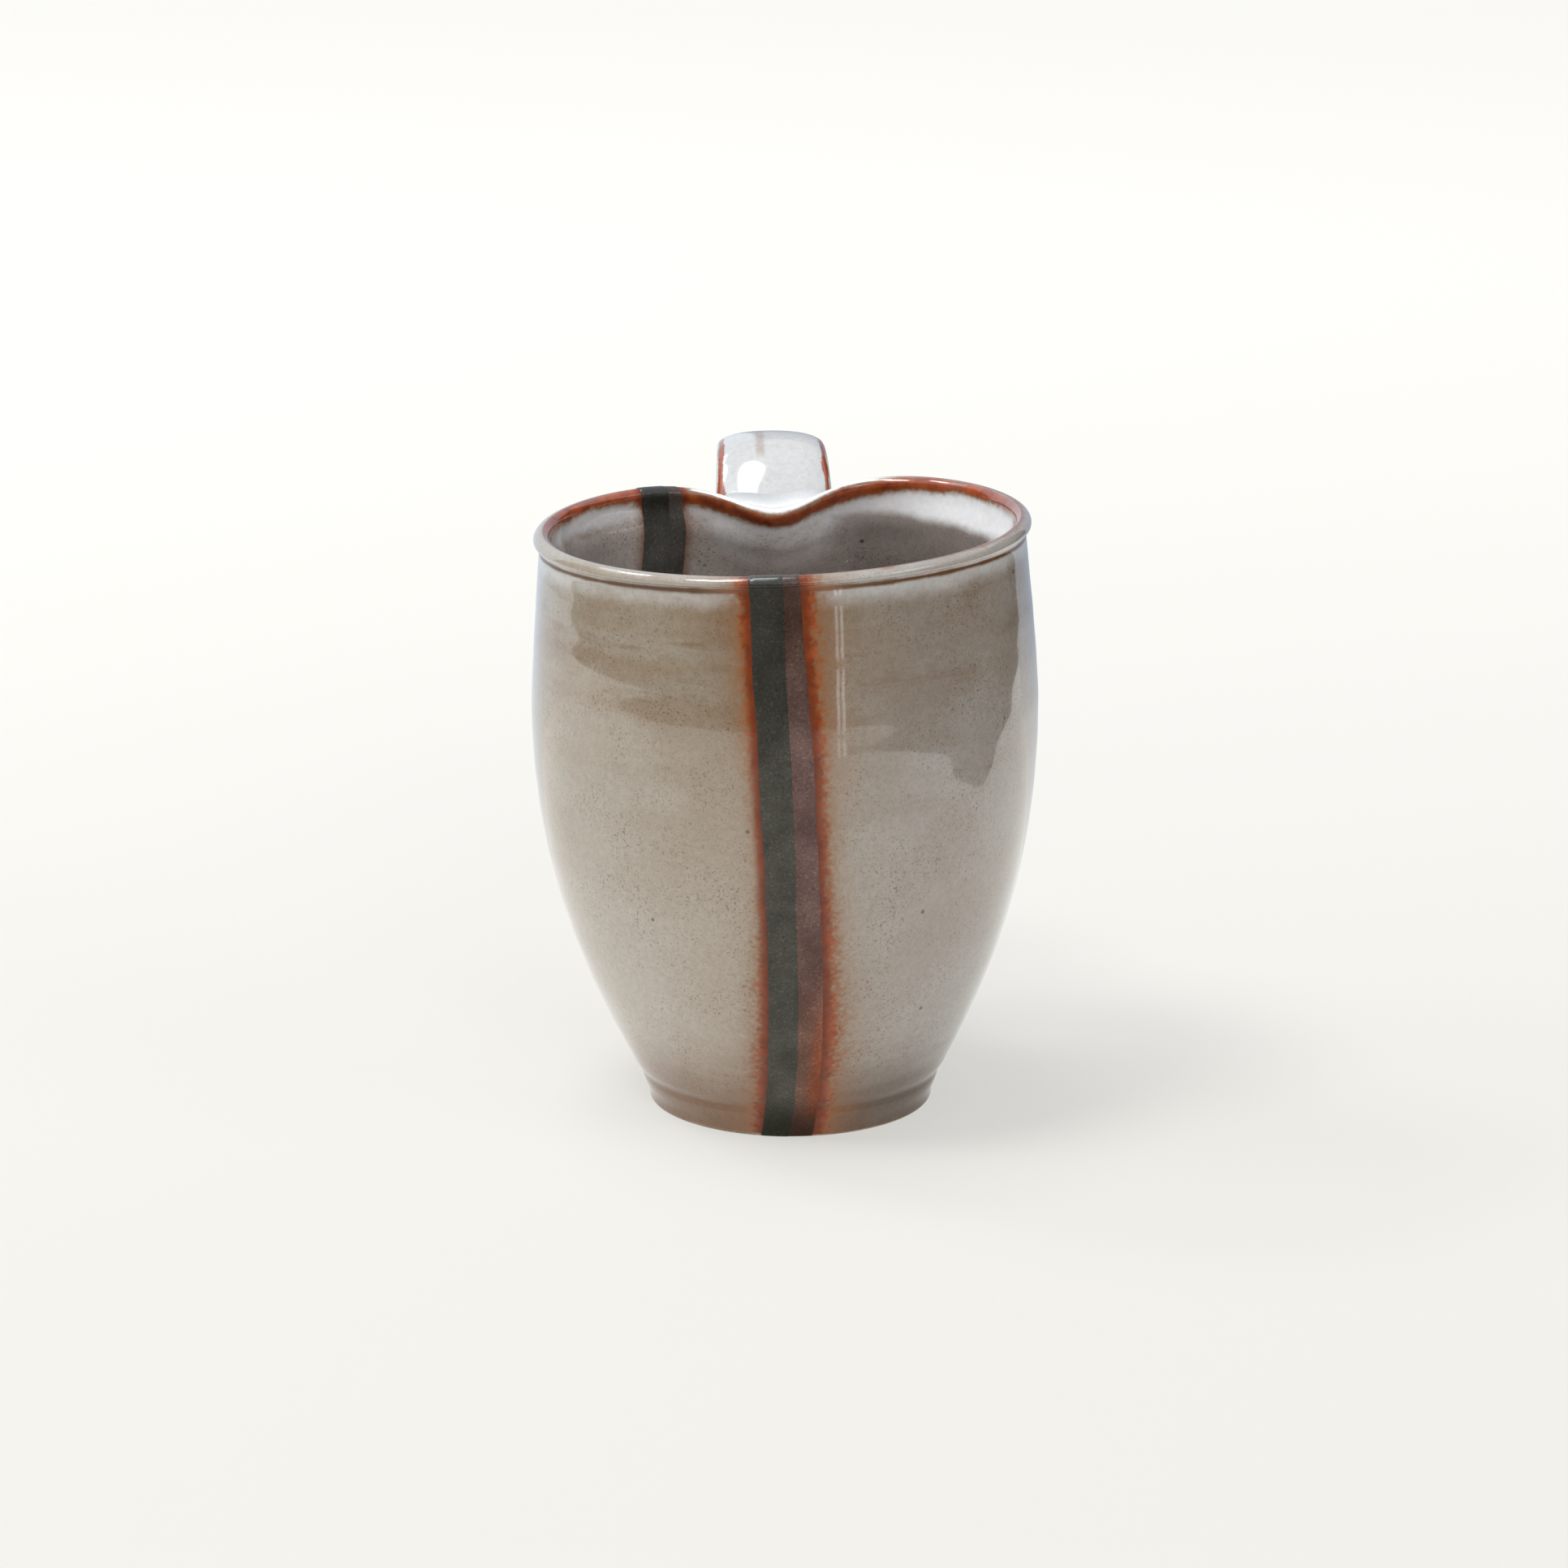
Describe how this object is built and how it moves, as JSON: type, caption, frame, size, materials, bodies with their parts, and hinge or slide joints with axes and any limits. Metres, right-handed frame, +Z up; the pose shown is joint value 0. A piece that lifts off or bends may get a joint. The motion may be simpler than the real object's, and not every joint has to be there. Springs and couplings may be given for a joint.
{
  "type": "handled cup",
  "caption": "Hand-thrown stoneware cup with a rolled lip dented at the back, where a pulled strap handle joins, on a short turned foot, with dark and mauve stripes.",
  "frame": {"origin": "middle of the whole cup's footprint, handle included, on the surface that the foot ring stands on", "axes": "+Z up along the turned axis, +Y from the cup towards its handle, +X to the right when the handle is behind"},
  "size_m": [0.0891, 0.1196, 0.1095],
  "materials": {
    "grey_glaze": "gloss",
    "pale_glaze": "gloss",
    "dark_slip": "satin",
    "mauve_slip": "satin"
  },
  "bodies": {
    "root": {"cup_body": "grey_glaze", "handle_strap": "pale_glaze", "upper_lute": "pale_glaze", "lower_lute": "pale_glaze", "front_dark_stripe": "dark_slip", "front_mauve_stripe": "mauve_slip", "back_dark_stripe": "dark_slip", "back_mauve_stripe": "mauve_slip"}
  },
  "joints": []
}
